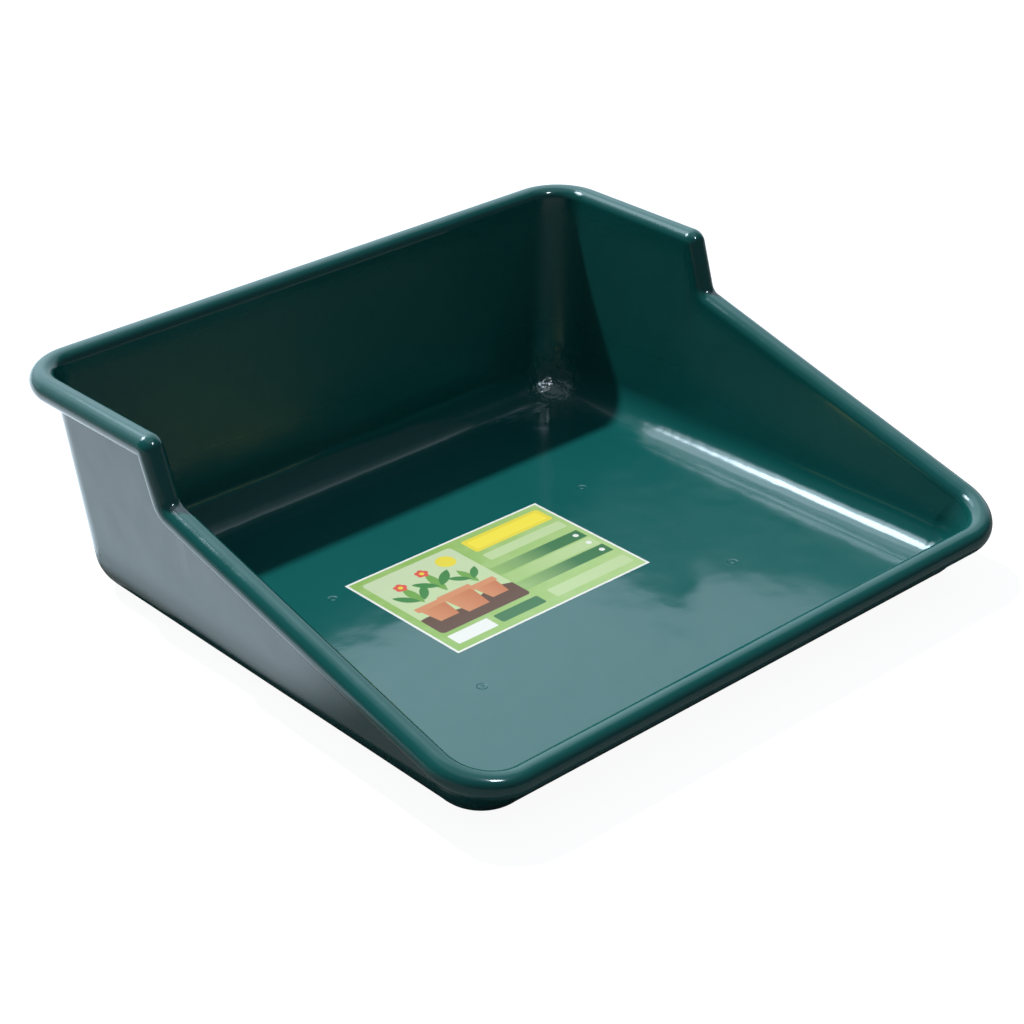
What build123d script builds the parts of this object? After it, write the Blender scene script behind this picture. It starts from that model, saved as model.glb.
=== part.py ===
"""Potting soil tray: a moulded tray that holds loose compost on a bench.

The back and the first stretch of both sides stand at full height. The sides
then step down and run in one long slope to a low front. A rolled rim, a thin
curl that is open underneath, follows the whole top edge. A printed label is
stuck to the floor.

X runs across the tray, the low front faces -Y and Z is up. The origin is on
the ground, in the middle of the tray's outer box. All sizes are millimetres.
"""

import math
import os

from build123d import *

# The whole tray, measured over the rolled rim
tray_width = 610
tray_depth = 550
tray_height = 198
front_height = 57

# Where the top edge steps down, and its bends, on the rim's centre line
high_side_length = 180
step_run = 16
step_drop = 48
step_top_bend = 9
step_foot_bend = 18

# The rolled rim, the angles that its curl spans and how far below its centre line it is trimmed
rim_radius = 10.5
rim_wall = 2.2
curl_start = -90
curl_end = 195
lip_depth = 7.8

# How far the rim's centre line is outside the wall's inner face, and at the top of the step
rim_overhang = 10.1
step_overhang = 9.4

# The moulded wall, how far each side leans outward and how far the sides spread to the front, in degrees
wall = 2.5
side_draft = 4.5
back_draft = 4.6
front_draft = 8
side_spread = 0.9

# How far the rim leans inward and spreads along the sides, both a little less than the wall
rim_side_draft = 3.5
rim_side_spread = 0.6

# The inner radius between floor and wall, and of the wall's four corners
corner_radius = 32

# Four round marks that the mould leaves on the floor
gate_mark_diameter = 9
gate_mark_depth = 0.5
gate_nub_diameter = 3
gate_spacing_x = 283
gate_spacing_y = 180
gate_marks_y = -16

# The printed label, its middle and its slight turn in degrees
label_width = 213
label_depth = 141
label_thickness = 0.3
label_x = -16
label_y = 11.5
label_turn = -0.5

# How far a cutting body runs past what it cuts
overrun = 20

# The rim's centre line
rim_height = tray_height - rim_radius
rim_front_height = front_height - rim_radius
rim_back = tray_depth / 2 - rim_radius
rim_front = rim_radius - tray_depth / 2
step_top_y = tray_depth / 2 - high_side_length
step_foot_y = step_top_y - step_run
step_foot_height = rim_height - step_drop

# Where the rim's level stretch along a side ends and it bends down, which is its widest place
level_end_y = step_top_y + step_top_bend * math.tan(math.atan2(step_drop, step_run) / 2)

# Drafts and spreads as slopes
side_lean = math.tan(math.radians(side_draft))
back_lean = math.tan(math.radians(back_draft))
front_lean = math.tan(math.radians(front_draft))
side_toe = math.tan(math.radians(side_spread))
rim_lean = math.tan(math.radians(rim_side_draft))
rim_toe = math.tan(math.radians(rim_side_spread))

# Where cutting bodies end
past_back = rim_back + overrun
past_front = rim_front - overrun
past_top = tray_height + overrun


def rim_side(y, height):
    """X of the rim's centre line along a side, at a place along it and a height."""
    widest = tray_width / 2 - rim_radius
    return widest - (rim_height - height) * rim_lean - (y - level_end_y) * rim_toe


def inner_side(y, height):
    """X of a side wall's inner face, at a place along it and a height."""
    widest = tray_width / 2 - rim_radius - step_overhang
    return widest - (rim_height - height) * side_lean - (y - level_end_y) * side_toe


def inner_back(height):
    """Y of the back wall's inner face at a height."""
    return rim_back - rim_overhang - (rim_height - height) * back_lean


def inner_front(height):
    """Y of the front wall's inner face at a height."""
    return rim_front + rim_overhang + (rim_front_height - height) * front_lean


# The space inside the tray: front, back and floor in one prism, its sides cut off along the leaning
# side walls, then rounded in its corners and round the floor
with BuildPart() as hollow:
    with BuildSketch(Plane.YZ):
        with BuildLine():
            Polyline(
                (inner_front(wall), wall),
                (inner_back(wall), wall),
                (inner_back(past_top), past_top),
                (inner_front(past_top), past_top),
                close=True,
            )
        make_face()
    extrude(amount=tray_width, both=True)
    for way in (1, -1):
        side_wall = Plane((way * inner_side(0, 0), 0, 0), z_dir=(way, side_toe, -side_lean))
        split(bisect_by=side_wall, keep=Keep.BOTTOM)
    round_floor, corners = hollow.edges().group_by(Axis.Z)[:2]
    fillet(round_floor + corners, radius=corner_radius)

# The rim's centre line seen from the side, past both ends of the tray
with BuildLine() as side_line:
    FilletPolyline(
        (past_back, rim_height),
        (step_top_y, rim_height),
        (step_foot_y, step_foot_height),
        (rim_front, rim_front_height),
        (past_front, rim_front_height),
        radius=[step_top_bend, step_foot_bend, rim_radius],
    )

# The rim's path from the middle of the back round one side to the middle of the front
with BuildLine() as rim_path:
    FilletPolyline(
        (0, rim_back, rim_height),
        (rim_side(rim_back, rim_height), rim_back, rim_height),
        (rim_side(step_top_y, rim_height), step_top_y, rim_height),
        (rim_side(step_foot_y, step_foot_height), step_foot_y, step_foot_height),
        (rim_side(rim_front, rim_front_height), rim_front, rim_front_height),
        (0, rim_front, rim_front_height),
        radius=[corner_radius + rim_overhang, step_top_bend, step_foot_bend, corner_radius + rim_overhang],
    )

# The rolled rim is a curl swept along the path and trimmed along its lower edge, then mirrored
with BuildPart() as rim:
    with BuildSketch(Plane(rim_path.line @ 0, x_dir=(0, 1, 0), z_dir=(1, 0, 0))):
        with BuildLine():
            outside = CenterArc((0, 0), rim_radius, curl_start, curl_end - curl_start)
            inside = CenterArc((0, 0), rim_radius - rim_wall, curl_start, curl_end - curl_start)
            Line(outside @ 0, inside @ 0)
            Line(outside @ 1, inside @ 1)
        make_face()
    sweep(path=rim_path.line)
    with BuildSketch(Plane.YZ):
        with BuildLine():
            lip_line = offset(side_line.line, amount=lip_depth, side=Side.LEFT, closed=False)
            Polyline(lip_line @ 0, (past_front, past_top), (past_back, past_top), lip_line @ 1)
        make_face()
    extrude(amount=tray_width, mode=Mode.INTERSECT)
    mirror(about=Plane.YZ)

# The tray is a shell round the space inside, cut off along the rim's centre line, with the rim on it
with BuildPart() as tray:
    offset(hollow.part, amount=wall, openings=hollow.faces().sort_by(Axis.Z)[-1])
    with BuildSketch(Plane.YZ):
        with BuildLine():
            add(side_line.line)
            Polyline(side_line.line @ 1, (past_front, -overrun), (past_back, -overrun), side_line.line @ 0)
        make_face()
    extrude(amount=tray_width, both=True, mode=Mode.INTERSECT)
    add(rim.part)
    add(hollow.part, mode=Mode.SUBTRACT)

    # Each gate mark is a shallow ring round a small nub
    with BuildSketch(Plane.XY.offset(wall)):
        with Locations((0, gate_marks_y)):
            with GridLocations(gate_spacing_x, gate_spacing_y, 2, 2):
                Circle(gate_mark_diameter / 2)
                Circle(gate_nub_diameter / 2, mode=Mode.SUBTRACT)
    extrude(amount=-gate_mark_depth, mode=Mode.SUBTRACT)
tray.part.label = "tray"

# The label lies flat on the floor
with BuildPart() as label:
    with BuildSketch(Plane.XY.offset(wall)):
        with Locations(Location((label_x, label_y), label_turn)):
            Rectangle(label_width, label_depth)
    extrude(amount=label_thickness)
label.part.label = "label"

os.makedirs("parts", exist_ok=True)
for piece in (tray, label):
    export_step(piece.part, f"parts/{piece.part.label}.step")
    box = piece.part.bounding_box().size
    print(piece.part.label, "valid", piece.part.is_valid, "size", box, "volume", round(piece.part.volume))
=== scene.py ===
import math

import bpy
import numpy as np
from mathutils import Matrix, Vector
from mathutils.geometry import delaunay_2d_cdt


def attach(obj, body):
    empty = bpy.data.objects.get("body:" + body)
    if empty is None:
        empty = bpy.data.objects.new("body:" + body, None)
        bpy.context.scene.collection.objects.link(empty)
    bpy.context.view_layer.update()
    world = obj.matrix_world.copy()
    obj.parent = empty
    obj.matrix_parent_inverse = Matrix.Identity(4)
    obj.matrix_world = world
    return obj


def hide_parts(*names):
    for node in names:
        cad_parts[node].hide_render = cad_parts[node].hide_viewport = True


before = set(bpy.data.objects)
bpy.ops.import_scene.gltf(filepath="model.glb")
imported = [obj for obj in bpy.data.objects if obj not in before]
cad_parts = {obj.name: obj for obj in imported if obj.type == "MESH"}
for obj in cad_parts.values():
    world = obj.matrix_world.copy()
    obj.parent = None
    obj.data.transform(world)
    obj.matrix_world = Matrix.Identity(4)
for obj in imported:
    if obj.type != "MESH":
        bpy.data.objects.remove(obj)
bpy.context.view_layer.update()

# What a user would change on the moulded tray, in millimetres and degrees
trayShape = {
    "rimRadius": 10.45,
    "rimWall": 2.2,
    "lipAngle": -46.5,  # where the curl ends, measured down from its outermost line
    "backY": 264.5,  # the rim's centre line, from here down
    "frontY": -264.5,
    "backHeight": 187.5,
    "frontHeight": 46.4,
    "backX": 294.5,
    "stepTop": (294.5, 93.4, 187.5),
    "stepFoot": (292.7, 76.7, 138.8),
    "frontX": 290.45,
    "backCornerRadius": 41.0,
    "stepTopRadius": 3.0,
    "stepFootRadius": 18.2,
    "frontCornerRadius": 43.5,
    "wall": 2.5,
    "floorInset": 30.4,  # from the wall's plane to where the flat floor begins
    "floorLead": 0.8,  # flat strip between the fillet and the floor's own mesh
    "filletLine": 0.18,  # height of the thin line that runs along the foot of the fillet
    "wallReach": 70.0,  # how far along a side the wall's lean is evened out
    "wallFade": 60.0,  # length over which that stops towards the corners
    "foldGap": 0.6,  # from each end of the wall's face to the row of points next to it
    "mitreReach": 30.0,  # how far from the top of the step points may be moved along the rim
    "baseSide": 271.9,  # the inner face of the side wall at the middle of the floor
    "baseSpread": 0.0172,  # how much wider the base gets for each millimetre to the front
    "baseBack": 239.2,
    "baseFront": -247.9,
    "baseBackCorner": 40.0,
    "baseFrontCorner": 40.0,
    "waveHeight": 0.04,  # slow unevenness of the moulded floor
    "waveEdge": (232.0, 200.0, 208.0),  # where it ends at the sides, the back and the front
    "waveFade": 60.0,
    "gridGap": 12.0,  # between the points of the flat floor
    "gridMargin": 4.0,  # kept free along the floor's edge
    "gateMarks": (141.5, 74.0, -106.0),  # x, and y of the back and the front pair
    "gateRings": (0.35, 0.8, 1.2, 1.5, 1.8, 2.2, 3.2, 3.8, 4.1, 4.4, 4.7, 5.1, 6.5, 9.0),
    "gateProfile": (  # distance from a mark's middle, and height
        (0, -0.03), (1.2, -0.05), (1.8, -0.25), (2.2, -0.3), (3.8, -0.3),
        (4.4, -0.1), (4.7, 0.02), (5.1, 0.03), (6.5, 0),
    ),
}

# What a user would change on the printed label
labelShape = {
    "middle": (-16.0, 11.5),
    "size": (213.0, 141.0),
    "turn": -0.5,
    "lift": 0.12,
    "sink": 0.05,  # how far its underside lies in the floor
    "cells": (72, 48),
}


def addObject(name, data):
    # A new object in the scene that holds a mesh, a light or a camera
    thing = bpy.data.objects.new(name, data)
    bpy.context.scene.collection.objects.link(thing)
    return thing


def roundedPath(corners, radii, steps, curveSteps):
    # A polyline whose corners are arcs: each arc starts where its tangent length (radius x tan of half
    # the turn) is left, and runs round a centre at radius / cos of half the turn along the bisector
    corners = np.array(corners, float)
    heading = np.diff(corners, axis=0)
    heading /= np.linalg.norm(heading, axis=1)[:, None]
    places, tangents, stretch = [], [], []
    start = corners[0]
    for index, radius in enumerate(radii):
        before, after = heading[index], heading[index + 1]
        turn = math.acos(float(before @ after))
        reach = radius * math.tan(turn / 2)
        arcStart = corners[index + 1] - before * reach
        part = spacedPart(steps[index])[min(index, 1):]
        places.append(start + (arcStart - start) * part[:-1, None])
        tangents.append(np.tile(before, (len(part) - 1, 1)))
        stretch += [2 * index] * (len(part) - 1)
        inward = after - before * float(before @ after)
        inward /= np.linalg.norm(inward)
        centre = arcStart + inward * radius
        angle = np.linspace(0, turn, curveSteps[index] + 1)[:, None]
        places.append(centre - inward * radius * np.cos(angle) + before * radius * np.sin(angle))
        tangents.append(before * np.cos(angle) + inward * np.sin(angle))
        stretch += [2 * index + 1] * (curveSteps[index] + 1)
        start = places[-1][-1]
    part = spacedPart(steps[-1])
    places.append(start + (corners[-1] - start) * part[1:, None])
    tangents.append(np.tile(heading[-1], (len(part) - 1, 1)))
    stretch += [2 * len(radii)] * (len(part) - 1)
    return np.vstack(places), np.vstack(tangents), np.array(stretch)


def spacedPart(steps):
    # Fractions from 0 to 1 that lie close together at both ends and even between them
    inner = np.linspace(0, 1, steps + 1)
    return np.unique(np.concatenate([inner, [0.004, 0.012, 0.988, 0.996]]))


def unit(rows):
    # Each vector divided by its own length
    return rows / np.linalg.norm(rows, axis=-1, keepdims=True)


def floorHeight(x, y):
    # The wall's thickness and three slow sine waves over the floor, faded out towards its edge
    form = trayShape
    wave = np.sin(x / 57 + 0.7) * np.cos(y / 71 - 0.4) + 0.6 * np.sin((x + 1.6 * y) / 93 + 1.9)
    wave += 0.35 * np.sin((x - y) / 41)
    side, back, front = form["waveEdge"]
    edge = np.minimum(np.minimum(side - np.abs(x), back - y), y + front)
    fade = np.clip(edge / form["waveFade"], 0, 1)
    fade = fade * fade * (3 - 2 * fade)
    return form["wall"] + form["waveHeight"] * wave * fade


def rimLine():
    # The rim's centre line on the right side, from the middle of the back to the middle of the front
    form = trayShape
    corners = [
        (0, form["backY"], form["backHeight"]),
        (form["backX"], form["backY"], form["backHeight"]),
        form["stepTop"],
        form["stepFoot"],
        (form["frontX"], form["frontY"], form["frontHeight"]),
        (0, form["frontY"], form["frontHeight"]),
    ]
    radii = [form[name + "Radius"] for name in ("backCorner", "stepTop", "stepFoot", "frontCorner")]
    return corners, radii, roundedPath(corners, radii, [16, 20, 10, 26, 16], [26, 14, 16, 26])


def baseLine(place, stretch):
    # Where each column of the wall meets the floor: a trapezoid with rounded corners, matched to the
    # rim by its share of each straight stretch and of each corner's turn
    form = trayShape
    spread = form["baseSpread"]
    lean = math.atan(spread)
    count = len(place)
    spot, out = np.zeros((count, 2)), np.zeros((count, 2))
    backR, frontR = form["baseBackCorner"], form["baseFrontCorner"]

    # Centres of the corner arcs, tangent to the back or front line and to the side line
    backC = np.array([0.0, form["baseBack"] - backR])
    backC[0] = form["baseSide"] - spread * backC[1] - backR / math.cos(lean)
    frontC = np.array([0.0, form["baseFront"] + frontR])
    frontC[0] = form["baseSide"] - spread * frontC[1] - frontR / math.cos(lean)
    sideOut = np.array([math.cos(lean), math.sin(lean)])
    sideStart, sideEnd = backC + backR * sideOut, frontC + frontR * sideOut

    back = stretch == 0
    across = place[back, 0] / place[stretch == 1][0, 0] * backC[0]
    spot[back] = np.c_[across, np.full(back.sum(), form["baseBack"])]
    out[back] = (0, 1)

    corner = stretch == 1
    angle = np.linspace(math.pi / 2, lean, corner.sum())
    out[corner] = np.c_[np.cos(angle), np.sin(angle)]
    spot[corner] = backC + backR * out[corner]

    side = (stretch > 1) & (stretch < 7)
    first, last = place[corner][-1, 1], place[stretch == 7][0, 1]
    share = ((first - place[side, 1]) / (first - last))[:, None]
    spot[side] = sideStart + (sideEnd - sideStart) * share
    out[side] = sideOut

    corner = stretch == 7
    angle = np.linspace(lean, -math.pi / 2, corner.sum())
    out[corner] = np.c_[np.cos(angle), np.sin(angle)]
    spot[corner] = frontC + frontR * out[corner]

    front = stretch == 8
    across = place[front, 0] / place[corner][-1, 0] * frontC[0]
    spot[front] = np.c_[across, np.full(front.sum(), form["baseFront"])]
    out[front] = (0, -1)
    return spot, out


def trayColumns():
    # One column of points for each place on the rim: floor edge, fillet, inner face, bead, lip, inside
    # of the curl, outer face, outer fillet, underside. Columns and rows make the two-parameter surface
    form = trayShape
    corners, radii, (place, tangent, stretch) = rimLine()
    spot, out = baseLine(place, stretch)
    count = len(place)
    up = np.array([0.0, 0.0, 1.0])
    across = unit(np.cross(up, tangent))
    over = np.cross(tangent, across)
    radius, wall, inset = form["rimRadius"], form["wall"], form["floorInset"]
    base = np.c_[spot, np.full(count, wall)]
    outward = np.c_[out, np.zeros(count)]

    # How far the wall leans out in each column, from the floor to the bead's innermost line
    def beadTouch(slant):
        # Where a wall with this lean touches the bead: the angle round the bead and the point
        angle = np.arctan2(np.sin(slant) * over[:, 2], -np.cos(slant))
        return angle, place + radius * (np.cos(angle)[:, None] * across + np.sin(angle)[:, None] * over)

    lean = np.full(count, 0.08)
    for step in range(3):
        phi, touch = beadTouch(lean)
        lean = np.arctan2(((touch - base) * outward).sum(1), touch[:, 2] - wall)

    # Along the sides the lean is evened out with bell-shaped weights, less and less towards the corners
    side = (stretch > 1) & (stretch < 7)
    along = place[side, 1]
    weight = np.exp(-(((along[:, None] - along[None]) / form["wallReach"]) ** 2)) * np.abs(np.gradient(along))
    even = (weight * lean[side]).sum(1) / weight.sum(1)
    fade = np.clip(np.minimum(along[0] - along, along - along[-1]) / form["wallFade"], 0, 1)
    lean[side] += (even - lean[side]) * fade * fade * (3 - 2 * fade)
    tilt = lean[:, None]
    normal = outward * np.cos(tilt) - up * np.sin(tilt)  # out of the wall, away from the soil

    # The fillet touches the floor at the inset, so its radius is inset x cos / (1 - sin) of the lean
    fillet = inset * np.cos(tilt) / (1 - np.sin(tilt))
    centre = base - outward * inset + up * fillet
    rows = []

    def face(foot, top, part):
        # Straight up the wall's plane, and off it to the top by the cube of the share of the way
        off = ((top - foot) * normal).sum(1)[:, None]
        return foot + (top - normal * off - foot) * part + normal * off * part ** 3

    def arc(size, first, last, parts):
        # Rows round the fillet's centre, at the given shares of the way between two angles
        for part in parts:
            angle = (first + (last - first) * part)[:, None]
            rows.append(centre + size * (outward * np.cos(angle) + up * np.sin(angle)))

    down = np.full(count, -math.pi / 2)
    rows.append(centre - up * fillet - outward * form["floorLead"])
    line = [0.052, 0.06, 0.068, 0.076]  # rows close together, of which the first three carry the thin line
    arc(fillet, down, -lean, np.unique(np.concatenate([np.linspace(0, 1, 25), line])))
    for row, rise in ((3, 0.5), (4, 1.0), (5, 0.5)):
        rows[row] = rows[row] + up * form["filletLine"] * rise
    wallFoot, firstFace = rows[-1], len(rows)
    length = np.linalg.norm(touch - wallFoot, axis=1)[:, None]
    for step in range(2):
        off = ((touch - wallFoot) * normal).sum(1)
        phi, touch = beadTouch(lean + 3 * off / length[:, 0])
    gap = form["foldGap"] / length
    for part in [gap, *np.linspace(0, 1, 15)[1:-1], 1 - gap]:
        rows.append(face(wallFoot, touch, part))
    lastFace = len(rows) - 1

    # The bead: a circle in the plane across the path, then a round lip, then the inside of the curl
    lip, thick = math.radians(form["lipAngle"]), form["rimWall"]
    ring = []
    for part in np.linspace(0, 1, 45):
        angle = phi + (lip - phi) * part
        ring.append((radius * np.cos(angle), radius * np.sin(angle)))
    middle = radius - thick / 2
    for part in np.linspace(0, 1, 8)[1:]:
        angle = lip - math.pi * part
        a = middle * math.cos(lip) + thick / 2 * math.cos(angle)
        b = middle * math.sin(lip) + thick / 2 * math.sin(angle)
        ring.append((np.full(count, a), np.full(count, b)))
    inside = radius - thick
    join = phi + math.acos((radius - wall) / inside)
    for part in np.linspace(0, 1, 31)[1:]:
        angle = lip + (join - lip) * part
        ring.append((inside * np.cos(angle), inside * np.sin(angle)))
    for a, b in ring:
        rows.append(place + a[:, None] * across + b[:, None] * over)
    firstBead = len(rows) - len(ring)
    rows[firstBead:] = mitre(rows[firstBead:], ring, corners, radii, stretch, place, tangent, across)

    # The outer face is the inner one moved out by the wall's thickness
    outerTop = rows[-1]
    outerFoot = wallFoot + normal * wall
    for part in [1 - gap, *np.linspace(1, 0, 13)[1:-1], gap]:
        rows.append(face(outerFoot, outerTop, part))
    arc(fillet + wall, -lean, down, np.linspace(0, 1, 17))
    rows.append(centre - up * (fillet + wall) - outward * form["floorLead"])

    # The flat of the walls is duller than the floor, the fillets and the bead, with a soft change
    dull = np.zeros((len(rows), count))
    share = np.linspace(0, 1, lastFace + 1 - firstFace)
    soft = np.clip(np.minimum(share / 0.45, (1 - share) / 0.12), 0, 1)
    dull[firstFace:lastFace + 1] = (soft * soft * (3 - 2 * soft))[:, None]
    return np.array(rows), dull


def mitre(rows, ring, corners, radii, stretch, place, tangent, across):
    # At the top of the step the bend is tighter than the bead is deep. What lies deeper than the bend's
    # centre is moved along its stretch onto the plane that halves the turn, so that it doesn't fold
    corner = np.array(corners[2], float)
    before = unit(corner - np.array(corners[1], float))
    after = unit(np.array(corners[3], float) - corner)
    half = unit(before + after)
    deep = unit(before - after)  # up along the halving plane
    turn = math.acos(float(before @ after))
    bend = stretch == 3
    middle = np.flatnonzero(bend)[bend.sum() // 2]
    index = np.arange(len(place))
    first, second = index <= middle, index > middle
    result = []
    for row, (a, b) in zip(rows, ring):
        row = row.copy()
        pinched = bend & (b < -radii[1])
        sharp = corner + a[:, None] * across + (b / math.cos(turn / 2))[:, None] * deep
        row[pinched] = sharp[pinched]
        past = (row - corner) @ half
        near = np.abs(place[:, 1] - corner[1]) < trayShape["mitreReach"]
        move = first & near & (past > 0) & ~bend
        row[move] -= before * (past[move] / float(before @ half))[:, None]
        move = second & near & (past < 0) & ~bend
        row[move] -= after * (past[move] / float(after @ half))[:, None]
        result.append(row)
    return result


def closeLoop(rows, dull):
    # The right half and its mirror image, joined into rings that run once round the tray
    left = rows[:, ::-1] * np.array([-1.0, 1.0, 1.0])
    rings = np.concatenate([rows, left[:, 1:-1]], axis=1)
    return rings, np.concatenate([dull, dull[:, ::-1][:, 1:-1]], axis=1)


def gridFaces(rowCount, columnCount, offset=0):
    # Quads between neighbouring rows and columns, with the last column joined to the first
    row, column = np.meshgrid(np.arange(rowCount - 1), np.arange(columnCount), indexing="ij")
    right = (column + 1) % columnCount
    quads = np.stack([
        row * columnCount + column, row * columnCount + right,
        (row + 1) * columnCount + right, (row + 1) * columnCount + column,
    ], axis=-1)
    return quads.reshape(-1, 4) + offset


def makeMesh(name, points, faces, dullness=None):
    # Merges points that share a place, drops what has no area and writes the rest into a mesh
    points = np.asarray(points, float) * 0.001
    keys = np.round(points * 1e7).astype(np.int64)
    _, firstOf, sameAs = np.unique(keys, axis=0, return_index=True, return_inverse=True)
    sameAs = sameAs.ravel()
    points = points[firstOf]
    tidy = []
    for corners in (3, 4):
        group = np.array([f for f in faces if len(f) == corners], dtype=np.int64).reshape(-1, corners)
        group = sameAs[group]
        following = np.roll(group, -1, axis=1)
        distinct = (group != following).sum(1)
        tidy += group[distinct == corners].tolist()
        if corners == 4:
            short = group[distinct == 3]
            keep = short != np.roll(short, -1, axis=1)
            tidy += short[keep].reshape(-1, 3).tolist()
    mesh = bpy.data.meshes.new(name)
    mesh.from_pydata(points.tolist(), [], tidy)
    mesh.polygons.foreach_set("use_smooth", np.full(len(mesh.polygons), True))
    if dullness is not None:
        attribute = mesh.attributes.new("dullness", "FLOAT", "POINT")
        attribute.data.foreach_set("value", np.asarray(dullness, float)[firstOf])
    mesh.validate()
    mesh.update()
    return addObject(name, mesh)


def floorPatch(edge):
    # The flat floor inside its fillet: an even scatter of grid points and rings round each gate mark,
    # triangulated together. Height is the slow waves plus the marks' profile over the distance to each
    form = trayShape
    gap = form["gridGap"]
    columns, rows = np.arange(-20 * gap, 20.5 * gap, gap), np.arange(-19 * gap, 19.5 * gap, gap)
    grid = np.stack(np.meshgrid(columns, rows), axis=-1).reshape(-1, 2)
    side = np.roll(edge, -1, axis=0) - edge
    length = np.linalg.norm(side, axis=1)
    long = length > 0.2  # shorter sides have no sure direction
    side, start = side[long] / length[long, None], edge[long]
    offset = grid[:, None] - start[None]
    depth = side[None, :, 1] * offset[..., 0] - side[None, :, 0] * offset[..., 1]  # the edge runs clockwise
    grid = grid[depth.min(1) > form["gridMargin"]]
    x, back, front = form["gateMarks"]
    marks = np.array([(x, back), (-x, back), (x, front), (-x, front)])
    away = np.linalg.norm(grid[:, None] - marks[None], axis=2).min(1)
    grid = grid[away > gap]
    turn = np.linspace(0, 2 * math.pi, 28, endpoint=False)
    circle = np.c_[np.cos(turn), np.sin(turn)]
    sizes = np.array(form["gateRings"])
    rings = (marks[:, None, None] + circle[None, None] * sizes[None, :, None, None]).reshape(-1, 2)
    flat = np.vstack([edge, grid, rings, marks])
    rim = [(i, (i + 1) % len(edge)) for i in range(len(edge))]
    places, _, faces, _, _, _ = delaunay_2d_cdt([Vector(p) for p in flat.tolist()], rim, [], 1, 1e-6)
    places = np.array([tuple(p) for p in places])
    away = np.linalg.norm(places[:, None] - marks[None], axis=2).min(1)
    radii, heights = zip(*form["gateProfile"])
    height = floorHeight(places[:, 0], places[:, 1]) + np.interp(away, radii, heights)
    return np.c_[places, height], faces


def buildTray():
    # Rings from the floor's edge over the rim to the underside, a triangulated floor and a flat base
    rows, dull = closeLoop(*trayColumns())
    rowCount, columnCount = rows.shape[:2]
    points = [rows.reshape(-1, 3)]
    faces = gridFaces(rowCount, columnCount).tolist()
    top, topFaces = floorPatch(rows[0, :, :2])
    top[:columnCount] = rows[0]  # the patch gives its edge back in single precision
    start = rowCount * columnCount
    points.append(top)
    faces += [[start + i for i in face] for face in topFaces]

    # The underside is a fan of two rings and a middle point
    last = rows[-1]
    shrunk = last * np.array([0.5, 0.5, 1.0])
    start = start + len(top)
    points += [last, shrunk, last.mean(0, keepdims=True)]
    faces += gridFaces(2, columnCount, start).tolist()
    index = np.arange(columnCount)
    hub = start + 2 * columnCount
    inner = start + columnCount
    faces += np.c_[inner + index, inner + (index + 1) % columnCount, np.full(columnCount, hub)].tolist()
    points = np.vstack(points)
    dullness = np.concatenate([dull.ravel(), np.zeros(len(points) - dull.size)])
    return makeMesh("tray_moulding", points, faces, dullness)


def buildLabel():
    # A thin sheet on the floor: width and depth are the two parameters, and its height is the floor's
    form = labelShape
    wide, deep = form["size"]
    columns, rows = form["cells"]
    u, v = np.meshgrid(np.linspace(0, 1, columns + 1), np.linspace(0, 1, rows + 1))
    turn = math.radians(form["turn"])
    a, b = (u - 0.5) * wide, (v - 0.5) * deep
    x = form["middle"][0] + a * math.cos(turn) - b * math.sin(turn)
    y = form["middle"][1] + a * math.sin(turn) + b * math.cos(turn)
    z = floorHeight(x, y)
    top = np.stack([x, y, z + form["lift"]], axis=-1).reshape(-1, 3)
    under = np.stack([x, y, z - form["sink"]], axis=-1).reshape(-1, 3)
    points = np.vstack([top, under])
    size = columns + 1
    i, j = np.meshgrid(np.arange(columns), np.arange(rows))
    corner = (j * size + i).reshape(-1)
    quads = np.c_[corner, corner + 1, corner + size + 1, corner + size]
    faces = quads.tolist() + (quads[:, ::-1] + len(top)).tolist()
    loop = np.concatenate([
        np.arange(columns), columns + size * np.arange(rows),
        rows * size + np.arange(columns, 0, -1), size * np.arange(rows, 0, -1),
    ])
    after = np.roll(loop, -1)
    faces += np.c_[loop, loop + len(top), after + len(top), after].tolist()
    mesh = bpy.data.meshes.new("printed_label")
    mesh.from_pydata((points * 0.001).tolist(), [], faces)
    mesh.update()
    uv = mesh.uv_layers.new(name="print")
    vertex = np.empty(len(mesh.loops), dtype=np.int32)
    mesh.loops.foreach_get("vertex_index", vertex)
    flat = np.c_[u.reshape(-1), v.reshape(-1)]
    uv.data.foreach_set("uv", np.vstack([flat, flat])[vertex].reshape(-1))
    return addObject("printed_label", mesh)


tray = buildTray()
print("tray surface", len(tray.data.vertices), "points", len(tray.data.polygons), "faces")
label = buildLabel()

# What a user would change on the tray's plastic
plasticLook = {
    "colour": (0.0062, 0.103, 0.0975),
    "mottle": 0.06,  # how far the colour varies up and down
    "mottleGrain": (7, 5),  # a grain is a noise's scale, per metre, and its detail
    "roughness": 0.13,
    "wallRoughness": 0.36,
    "mottleRoughness": (0.85, 1.2),  # factor where the mottle is low and high
    "ior": 1.6,
    "waviness": 0.32,  # strength of the faint unevenness of the moulded skin
    "wavinessDepth": 0.0025,
    "waveGrain": (22, 1.5),
    "peel": 0.05,  # share of the fine grain
    "peelGrain": (170, 2),
    "crinkle": 3.0,  # how uneven the skin is where the back corners meet the floor
    "crinkleGrain": (130, 2),
    "crinkleBack": (0.185, 0.225),  # metres over which it begins, to the back and to each side
    "crinkleSide": (0.21, 0.25),
    "crinkleTop": (0.025, 0.06),  # and over which it ends, upwards
}


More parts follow.
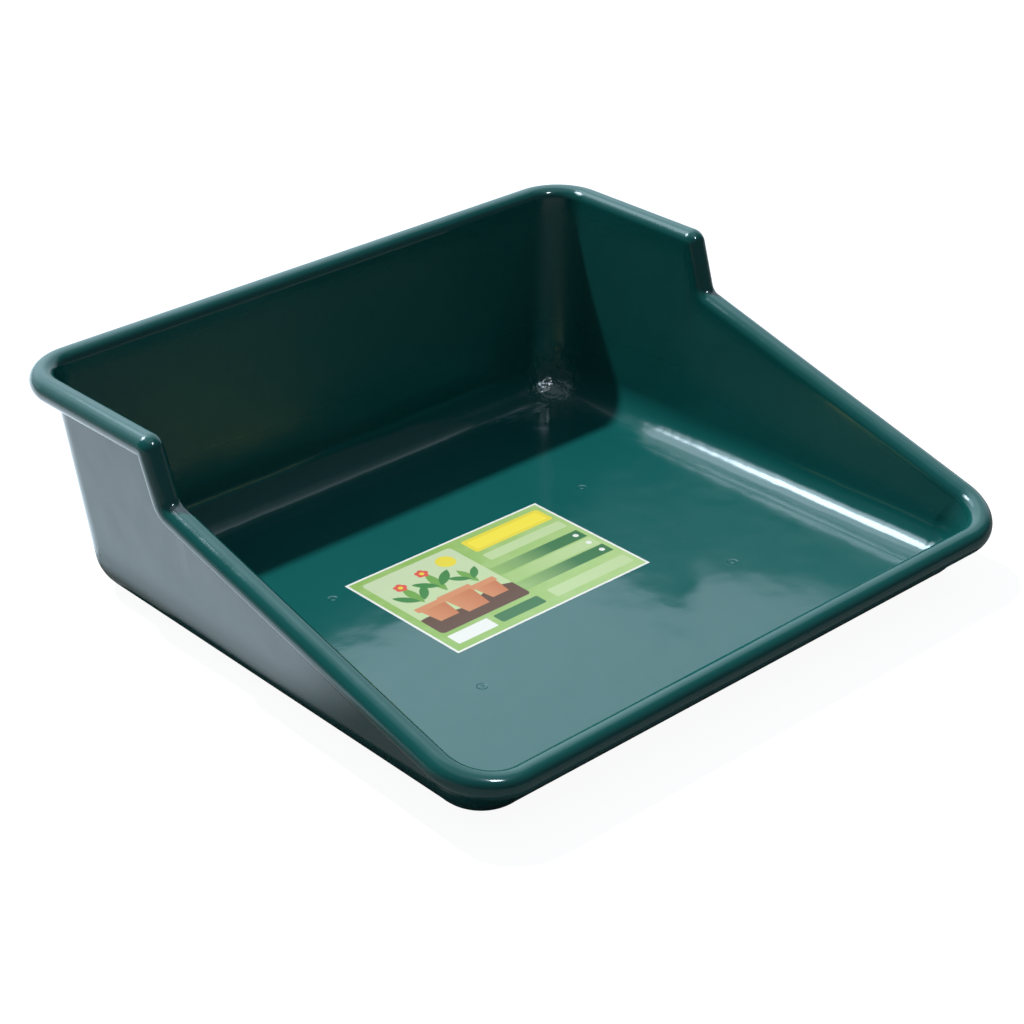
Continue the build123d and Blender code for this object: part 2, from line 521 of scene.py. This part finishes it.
class Wiring:
    # Short ways to add nodes to a material or a world. Each method but put and bump returns what the new
    # nodes give
    def __init__(self, owner):
        owner.use_nodes = True
        self.nodes, self.links = owner.node_tree.nodes, owner.node_tree.links
        self.shader = self.nodes.get("Principled BSDF")

    def put(self, value, socket):
        if hasattr(value, "is_output"):
            self.links.new(value, socket)
        else:
            socket.default_value = value

    def calc(self, kind, *values):
        node = self.nodes.new("ShaderNodeMath")
        node.operation = kind
        for value, socket in zip(values, node.inputs):
            self.put(value, socket)
        return node.outputs[0]

    def chain(self, kind, first, *others):
        # The same operation taken from left to right over all the values
        for other in others:
            first = self.calc(kind, first, other)
        return first

    def ramp(self, value, low, high, first=0.0, last=1.0, smooth=False):
        # From first to last while the value goes from low to high, straight or by 3t2 - 2t3
        node = self.nodes.new("ShaderNodeMapRange")
        node.interpolation_type = "SMOOTHSTEP" if smooth else "LINEAR"
        sockets = ("Value", "From Min", "From Max", "To Min", "To Max")
        for part, socket in zip((value, low, high, first, last), sockets):
            self.put(part, node.inputs[socket])
        return node.outputs["Result"]

    def parts(self, vector):
        node = self.nodes.new("ShaderNodeSeparateXYZ")
        self.links.new(vector, node.inputs[0])
        return node.outputs[0], node.outputs[1], node.outputs[2]

    def blend(self, share, first, second):
        node = self.nodes.new("ShaderNodeMix")
        node.data_type = "RGBA"
        self.put(share, node.inputs[0])
        for part, socket in ((first, node.inputs[6]), (second, node.inputs[7])):
            self.put(part if hasattr(part, "is_output") else tuple(part) + (1,), socket)
        return node.outputs[2]

    def noise(self, scale, detail, vector):
        node = self.nodes.new("ShaderNodeTexNoise")
        node.inputs["Scale"].default_value = scale
        node.inputs["Detail"].default_value = detail
        self.links.new(vector, node.inputs["Vector"])
        return node.outputs["Fac"]

    def bump(self, height, strength, distance):
        node = self.nodes.new("ShaderNodeBump")
        node.inputs["Strength"].default_value = strength
        node.inputs["Distance"].default_value = distance
        self.links.new(height, node.inputs["Height"])
        self.links.new(node.outputs["Normal"], self.shader.inputs["Normal"])


def glossyPlastic():
    # Injection-moulded plastic: an even dark green with a faint mottle and a very slight orange peel. The
    # roughness goes to the wall's with the mesh's dullness, times the mottle's factor. The height of the
    # skin is slow waves, the peel, and the crinkle times its three ramps
    look = plasticLook
    material = bpy.data.materials.new("glossyGreenPlastic")
    wiring = Wiring(material)
    place = wiring.nodes.new("ShaderNodeTexCoord").outputs["Object"]
    mottle = wiring.noise(*look["mottleGrain"], place)
    darker = tuple(c * (1 - look["mottle"]) for c in look["colour"])
    lighter = tuple(c * (1 + look["mottle"]) for c in look["colour"])
    wiring.put(wiring.blend(mottle, darker, lighter), wiring.shader.inputs["Base Color"])

    share = wiring.nodes.new("ShaderNodeAttribute")
    share.attribute_name = "dullness"
    rough = wiring.ramp(share.outputs["Fac"], 0.0, 1.0, look["roughness"], look["wallRoughness"])
    rough = wiring.calc("MULTIPLY", rough, wiring.ramp(mottle, 0.3, 0.7, *look["mottleRoughness"]))
    wiring.put(rough, wiring.shader.inputs["Roughness"])
    wiring.shader.inputs["IOR"].default_value = look["ior"]

    peel = wiring.calc("MULTIPLY", wiring.noise(*look["peelGrain"], place), look["peel"])
    waves = wiring.calc("ADD", wiring.noise(*look["waveGrain"], place), peel)
    x, y, z = wiring.parts(place)
    back = wiring.ramp(y, *look["crinkleBack"], smooth=True)
    side = wiring.ramp(wiring.calc("ABSOLUTE", x), *look["crinkleSide"], smooth=True)
    low = wiring.ramp(z, *look["crinkleTop"], 1.0, 0.0, smooth=True)
    crinkle = wiring.calc("MULTIPLY", wiring.noise(*look["crinkleGrain"], place), look["crinkle"])
    crinkle = wiring.calc("MULTIPLY", crinkle, wiring.chain("MULTIPLY", back, side, low))
    wiring.bump(wiring.calc("ADD", waves, crinkle), look["waviness"], look["wavinessDepth"])
    return material


plastic = glossyPlastic()
tray.data.materials.append(plastic)

# What a user would change on the label's print: the inks, and how rough the film is
printLook = {
    "ground": (0.27, 0.46, 0.11),
    "groundLight": (0.40, 0.58, 0.22),
    "border": (0.80, 0.82, 0.78),
    "deepGreen": (0.035, 0.16, 0.05),
    "paleGreen": (0.50, 0.64, 0.33),
    "yellow": (0.78, 0.66, 0.06),
    "sky": (0.55, 0.66, 0.42),
    "soil": (0.075, 0.032, 0.014),
    "clay": (0.52, 0.17, 0.065),
    "clayLight": (0.62, 0.26, 0.12),
    "leaf": (0.05, 0.22, 0.05),
    "leafLight": (0.16, 0.36, 0.07),
    "petal": (0.70, 0.10, 0.07),
    "roughness": 0.3,
}


def printedFilm():
    # Flat areas of ink laid over each other, with places in millimetres from the label's lower left
    # corner. Each area is a share from 0 to 1
    look = printLook
    material = bpy.data.materials.new("printedFilm")
    wiring = Wiring(material)
    calc = wiring.calc
    sheet = wiring.nodes.new("ShaderNodeUVMap")
    sheet.uv_map = "print"
    u, v, _ = wiring.parts(sheet.outputs["UV"])
    wide, deep = labelShape["size"]
    x, y = calc("MULTIPLY", u, wide), calc("MULTIPLY", v, deep)

    def length(a, b):
        # The root of the sum of both squares
        return calc("SQRT", calc("ADD", calc("POWER", a, 2.0), calc("POWER", b, 2.0)))

    def inside(distance, soft=0.5):
        # 1 where the distance is below zero and 0 above, with a soft edge
        return wiring.ramp(distance, -soft / 2, soft / 2, 1.0, 0.0)

    def box(x0, y0, x1, y1, rounding=0.0):
        # A rounded rectangle: distance outside its inner rectangle, less the corner radius
        a = calc("SUBTRACT", calc("ABSOLUTE", calc("SUBTRACT", x, (x0 + x1) / 2)), (x1 - x0) / 2 - rounding)
        b = calc("SUBTRACT", calc("ABSOLUTE", calc("SUBTRACT", y, (y0 + y1) / 2)), (y1 - y0) / 2 - rounding)
        far = length(calc("MAXIMUM", a, 0.0), calc("MAXIMUM", b, 0.0))
        near = calc("MINIMUM", calc("MAXIMUM", a, b), 0.0)
        return inside(calc("SUBTRACT", calc("ADD", far, near), rounding))

    def disc(cx, cy, radius):
        # Distance from its middle, less the radius
        return inside(calc("SUBTRACT", length(calc("SUBTRACT", x, cx), calc("SUBTRACT", y, cy)), radius))

    def leaf(cx, cy, long, width, turn):
        # Where two discs overlap. Each has the radius of an arc over a chord as long as the leaf that
        # rises by half its width, and its middle stands off the chord by the rest of that radius
        radius = (long * long + width * width) / (4 * width)
        c, s = math.cos(math.radians(turn)), math.sin(math.radians(turn))
        offset = radius - width / 2
        first = disc(cx - s * offset, cy + c * offset, radius)
        return calc("MINIMUM", first, disc(cx + s * offset, cy - c * offset, radius))

    def pot(cx, foot, top, height):
        # A box whose half width grows from its foot to its top
        half = wiring.ramp(y, foot, foot + height, top * 0.36, top * 0.5)
        body = inside(calc("SUBTRACT", calc("ABSOLUTE", calc("SUBTRACT", x, cx)), half))
        above, below = inside(calc("SUBTRACT", foot, y)), inside(calc("SUBTRACT", y, foot + height))
        return calc("MINIMUM", body, calc("MINIMUM", above, below))

    fade = wiring.ramp(calc("ADD", x, calc("MULTIPLY", y, -0.6)), 0.0, 200.0)
    ink = wiring.blend(fade, look["ground"], look["groundLight"])
    blotch = wiring.noise(9, 4, sheet.outputs["UV"])
    ink = wiring.blend(wiring.ramp(blotch, 0.45, 0.75, 0.0, 0.35), ink, look["paleGreen"])

    # Bands on the right half that fade to the left, with a row of dots
    toLeft = wiring.ramp(x, 96.0, 170.0)
    for low, high in ((68.0, 82.0), (36.0, 50.0)):
        ink = wiring.blend(calc("MULTIPLY", box(100, low, 206, high), toLeft), ink, look["deepGreen"])
    paler = wiring.ramp(x, 96.0, 190.0, 0.0, 0.8)
    ink = wiring.blend(calc("MULTIPLY", box(100, 52, 206, 66), paler), ink, look["paleGreen"])
    for row in (75.0, 59.0, 43.0):
        ink = wiring.blend(disc(199, row, 2.6), ink, look["border"])

    # A yellow strip with a lighter middle at the top right, and two pale strips below
    lighter = tuple(min(1, c * 1.12) for c in look["yellow"])
    for sides, colour in (
        ((118, 110, 206, 132, 3), look["yellow"]),
        ((122, 114, 202, 128, 2), lighter),
        ((118, 92, 206, 104, 2), look["paleGreen"]),
        ((118, 11, 206, 25, 2), look["paleGreen"]),
    ):
        ink = wiring.blend(box(*sides), ink, colour)

    # The picture: pots with seedlings on a bed of soil
    picture = box(10, 30, 106, 132, 4)
    view = wiring.blend(wiring.ramp(y, 40.0, 130.0), look["paleGreen"], look["sky"])
    view = wiring.blend(disc(88, 116, 9), view, look["yellow"])
    crumbs = wiring.noise(260, 3, sheet.outputs["UV"])
    soil = wiring.blend(crumbs, tuple(c * 0.5 for c in look["soil"]), tuple(c * 2.2 for c in look["soil"]))
    crest = wiring.ramp(calc("SINE", calc("MULTIPLY", x, 0.09)), -1.0, 1.0, 50.0, 58.0)
    view = wiring.blend(inside(calc("SUBTRACT", y, crest), 1.0), view, soil)
    leaves = [
        (32, 92, 30, 9, 90), (23, 90, 24, 8, 128), (42, 90, 24, 8, 52),
        (60, 96, 34, 9, 84), (50, 97, 24, 8, 135), (70, 97, 26, 9, 40),
        (86, 86, 26, 8, 96), (78, 87, 20, 7, 140), (94, 87, 20, 7, 48),
    ]
    for number, sizes in enumerate(leaves):
        view = wiring.blend(leaf(*sizes), view, look["leaf" if number % 3 else "leafLight"])
    for cx, cy in ((60, 114), (32, 108)):
        for turn in (0, 72, 144, 216, 288):
            away = math.radians(turn)
            petal = disc(cx + 3.4 * math.cos(away), cy + 3.4 * math.sin(away), 2.8)
            view = wiring.blend(petal, view, look["petal"])
        view = wiring.blend(disc(cx, cy, 2.2), view, look["yellow"])
    for cx, foot, top, height in ((32, 46, 27, 26), (60, 42, 31, 32), (87, 46, 24, 24)):
        shade = wiring.blend(wiring.ramp(x, cx - top / 2, cx + top / 2), look["clayLight"], look["clay"])
        view = wiring.blend(pot(cx, foot, top, height), view, shade)
        collar = box(cx - top * 0.56, foot + height - 5, cx + top * 0.56, foot + height + 2, 1)
        view = wiring.blend(collar, view, look["clayLight"])
    ink = wiring.blend(picture, ink, view)

    # A bare white patch and a dark one under the picture, and the white border round everything
    ink = wiring.blend(box(10, 10, 52, 25, 1), ink, look["border"])
    ink = wiring.blend(box(58, 11, 106, 24, 2), ink, look["deepGreen"])
    ink = wiring.blend(box(2.2, 2.2, wide - 2.2, deep - 2.2, 0.5), look["border"], ink)
    wiring.put(ink, wiring.shader.inputs["Base Color"])
    wiring.shader.inputs["Roughness"].default_value = look["roughness"]
    return material


film = printedFilm()
label.data.materials.append(film)
for name, material in (("tray", plastic), ("label", film)):
    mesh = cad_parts[name].data
    mesh.materials.clear()
    mesh.materials.append(material)

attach(tray, "root")
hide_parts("tray")
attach(label, "root")
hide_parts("label")

# What a user would change on the studio, in metres and degrees. A turn is counted from the tray's back
studio = {
    "ambient": 0.115,  # light on everything but the gloss
    "ambientShare": (0.2, 2.6),  # of it from the side and from above
    "tint": (0.84, 1.0, 1.14),  # of what shows in the gloss
    "lobes": [  # in the gloss: turn, height, cosine where it begins and is full, radiance there
        (25, 10, 0.3, 0.6, 0.09, 0.95),
        (12, 42, 0.74, 0.97, 0.0, 0.9),
        (0, 90, 0.75, 0.97, 0.0, 0.5),
    ],
    "floorSize": 9.0,
    "floorLevel": -0.0004,  # a little below the tray, so that they share no plane
    "paper": 0.22,
    "floorGlow": 0.94,  # of the floor to the camera
    "floorGloss": 1.55,  # of the floor in the gloss where it is brightest
    "glossFront": (-0.09, 0.03, 0.06),  # where it grows to the back, from which share
    "glossLeft": (-0.75, -0.42, 0.12),  # where it grows to the right
    "glossSlant": (0.5, -0.6, 0.25, 0.12),  # where it grows to the back left, by y less this share of x
    "glossShadeUnder": (0.245, 0.22, 0.03, 0.065),  # half the base, and how far off it the floor brightens; the dim floor within is painted shade
    "keyDirection": (-0.11, 0.505, 0.856),
    "keyStrength": 3.4,
    "keyAngle": 3,
    "panelDistance": 3,
    "panelStep": 0.05,  # how much nearer a panel stands for each metre of its width
    "panels": [  # turn, height, width, radiance
        (-31, 55, 0.85, 18.0),
        (-40, 50, 1.0, 2.6),
        (-44, 45, 0.75, 3.5),
        (-6, 53, 1.3, 1.8),
        (176, 59, 0.4, 55.0),
    ],
}


def skyward(turn, lift):
    # The direction at a turn from the tray's back and a height, both in degrees
    turn, lift = math.radians(turn), math.radians(lift)
    return math.sin(turn) * math.cos(lift), math.cos(turn) * math.cos(lift), math.sin(lift)


def paleFloor():
    # A wide white floor. To the camera and in gloss it glows a little, so that it reads as white, and
    # the rest of its light is what falls on it, so that the tray's shadow stays. Its glow in the gloss
    # is painted light, the product of four ramps: it is dim to the front, to the left and to the front
    # right, and dim under the tray and just beside it as painted shade of the tray's overhang
    size, level = studio["floorSize"], studio["floorLevel"]
    mesh = bpy.data.meshes.new("studioFloor")
    corners = [(-size, -size, level), (size, -size, level), (size, size, level), (-size, size, level)]
    mesh.from_pydata(corners, [], [(0, 1, 2, 3)])
    floor = addObject("studioFloor", mesh)
    material = bpy.data.materials.new("palePaper")
    wiring = Wiring(material)
    nodes, links, calc = wiring.nodes, wiring.links, wiring.calc
    nodes.remove(wiring.shader)
    paper = nodes.new("ShaderNodeBsdfDiffuse")
    paper.inputs["Color"].default_value = (studio["paper"],) * 3 + (1,)
    glow = nodes.new("ShaderNodeEmission")
    path = nodes.new("ShaderNodeLightPath")
    x, y, _ = wiring.parts(nodes.new("ShaderNodeTexCoord").outputs["Object"])

    begin, end, dim = studio["glossFront"]
    front = wiring.ramp(y, begin, end, dim, studio["floorGloss"], smooth=True)
    begin, end, dim = studio["glossLeft"]
    left = wiring.ramp(x, begin, end, dim, 1.0, smooth=True)
    share, begin, end, dim = studio["glossSlant"]
    slant = wiring.ramp(calc("SUBTRACT", y, calc("MULTIPLY", x, share)), begin, end, dim, 1.0, smooth=True)
    # Painted shade: the floor's glow in the gloss is dark under the tray and just beside it, and brightens
    # further out
    halfWidth, halfDepth, begin, end = studio["glossShadeUnder"]
    beside = calc("SUBTRACT", calc("ABSOLUTE", x), halfWidth)
    before = calc("SUBTRACT", calc("ABSOLUTE", y), halfDepth)
    under = wiring.ramp(calc("MAXIMUM", beside, before), begin, end)
    gloss = wiring.chain("MULTIPLY", front, left, slant, under)

    seen = calc("MULTIPLY", path.outputs["Is Camera Ray"], studio["floorGlow"])
    mirrored = calc("MULTIPLY", path.outputs["Is Glossy Ray"], gloss)
    wiring.put(calc("ADD", seen, mirrored), glow.inputs["Strength"])
    tint = wiring.blend(path.outputs["Is Camera Ray"], studio["tint"], (1, 1, 1))
    wiring.put(tint, glow.inputs["Color"])
    both = nodes.new("ShaderNodeAddShader")
    links.new(paper.outputs[0], both.inputs[0])
    links.new(glow.outputs[0], both.inputs[1])
    links.new(both.outputs[0], nodes["Material Output"].inputs["Surface"])
    mesh.materials.append(material)


def paleWorld():
    # White behind the object. In its gloss the studio is the sum of the lobes, bright at the back,
    # brightest above it and dim at the front, and everything else gets a weak soft light from above
    world = bpy.data.worlds.new("studioWorld")
    bpy.context.scene.world = world
    wiring = Wiring(world)
    nodes, calc = wiring.nodes, wiring.calc
    coordinates = nodes.new("ShaderNodeTexCoord")
    path = nodes.new("ShaderNodeLightPath")
    camera, glossy = path.outputs["Is Camera Ray"], path.outputs["Is Glossy Ray"]

    def towards(turn, lift):
        # Cosine of the angle between the ray and a direction
        node = nodes.new("ShaderNodeVectorMath")
        node.operation = "DOT_PRODUCT"
        wiring.put(coordinates.outputs["Generated"], node.inputs[0])
        node.inputs[1].default_value = skyward(turn, lift)
        return node.outputs["Value"]

    lobes = [
        wiring.ramp(towards(turn, lift), begin, full, before, within, smooth=True)
        for turn, lift, begin, full, before, within in studio["lobes"]
    ]
    mirrored = calc("MULTIPLY", wiring.chain("ADD", *lobes), glossy)
    side, above = (share * studio["ambient"] for share in studio["ambientShare"])
    soft = wiring.ramp(towards(0, 90), 0.1, 0.95, side, above, smooth=True)
    plain = calc("MULTIPLY", calc("SUBTRACT", 1.0, glossy), soft)
    hidden = calc("SUBTRACT", 1.0, camera)
    level = calc("ADD", calc("MULTIPLY", calc("ADD", mirrored, plain), hidden), camera)
    wiring.put(level, nodes["Background"].inputs["Strength"])
    wiring.put(wiring.blend(camera, studio["tint"], (1, 1, 1)), nodes["Background"].inputs["Color"])


def keyLight():
    # A sun gives light and shadow and stays out of the gloss. The panels show in the gloss alone, each
    # in its own direction. A panel's power is its radiance x pi x the area of its disc
    direction = Vector(studio["keyDirection"]).normalized()
    sun = bpy.data.lights.new("keySun", "SUN")
    sun.energy = studio["keyStrength"]
    sun.angle = math.radians(studio["keyAngle"])
    lamp = addObject("keySun", sun)
    facing = direction.to_track_quat("Z", "Y").to_matrix().to_4x4()
    lamp.matrix_world = Matrix.Translation(direction * studio["panelDistance"]) @ facing
    lamp.visible_glossy = False
    for turn, lift, size, radiance in studio["panels"]:
        direction = Vector(skyward(turn, lift))
        panel = bpy.data.lights.new("glossPanel", "AREA")
        panel.shape = "DISK"
        panel.size = size
        panel.energy = radiance * math.pi * math.pi * size * size / 4
        panel.color = studio["tint"]
        lamp = addObject("glossPanel", panel)
        facing = direction.to_track_quat("Z", "Y").to_matrix().to_4x4()
        distance = studio["panelDistance"] - size * studio["panelStep"]
        lamp.matrix_world = Matrix.Translation(direction * distance) @ facing
        lamp.visible_diffuse = False
        lamp.visible_camera = False


# What a user would change on the camera, in degrees and metres, with the lens and the film in millimetres
photoView = {
    "turn": -42.955,  # from the tray's front
    "raise": 28.563,
    "distance": 2.092325,
    "aside": -0.008457,
    "above": 0.052631,
    "lens": 88.77,
    "film": 36,
}


def photoCamera():
    # The photograph's camera: turned round the object, raised, and looking along its own back axis. It
    # stands at back x distance + right x aside + above x above
    view = photoView
    turn, lift = math.radians(view["turn"]), math.radians(view["raise"])
    back = Vector((math.sin(turn) * math.cos(lift), -math.cos(turn) * math.cos(lift), math.sin(lift)))
    right = Vector((0, 0, 1)).cross(back).normalized()
    above = back.cross(right)
    pose = Matrix((right, above, back)).transposed().to_4x4()
    pose.translation = back * view["distance"] + right * view["aside"] + above * view["above"]
    camera = bpy.data.cameras.new("photoCamera")
    camera.sensor_width = view["film"]
    camera.lens = view["lens"]
    camera.clip_end = 50
    holder = addObject("photoCamera", camera)
    holder.matrix_world = pose
    bpy.context.scene.camera = holder


paleFloor()
paleWorld()
keyLight()
photoCamera()
bpy.context.scene.view_settings.view_transform = "Standard"
print("studio ready")
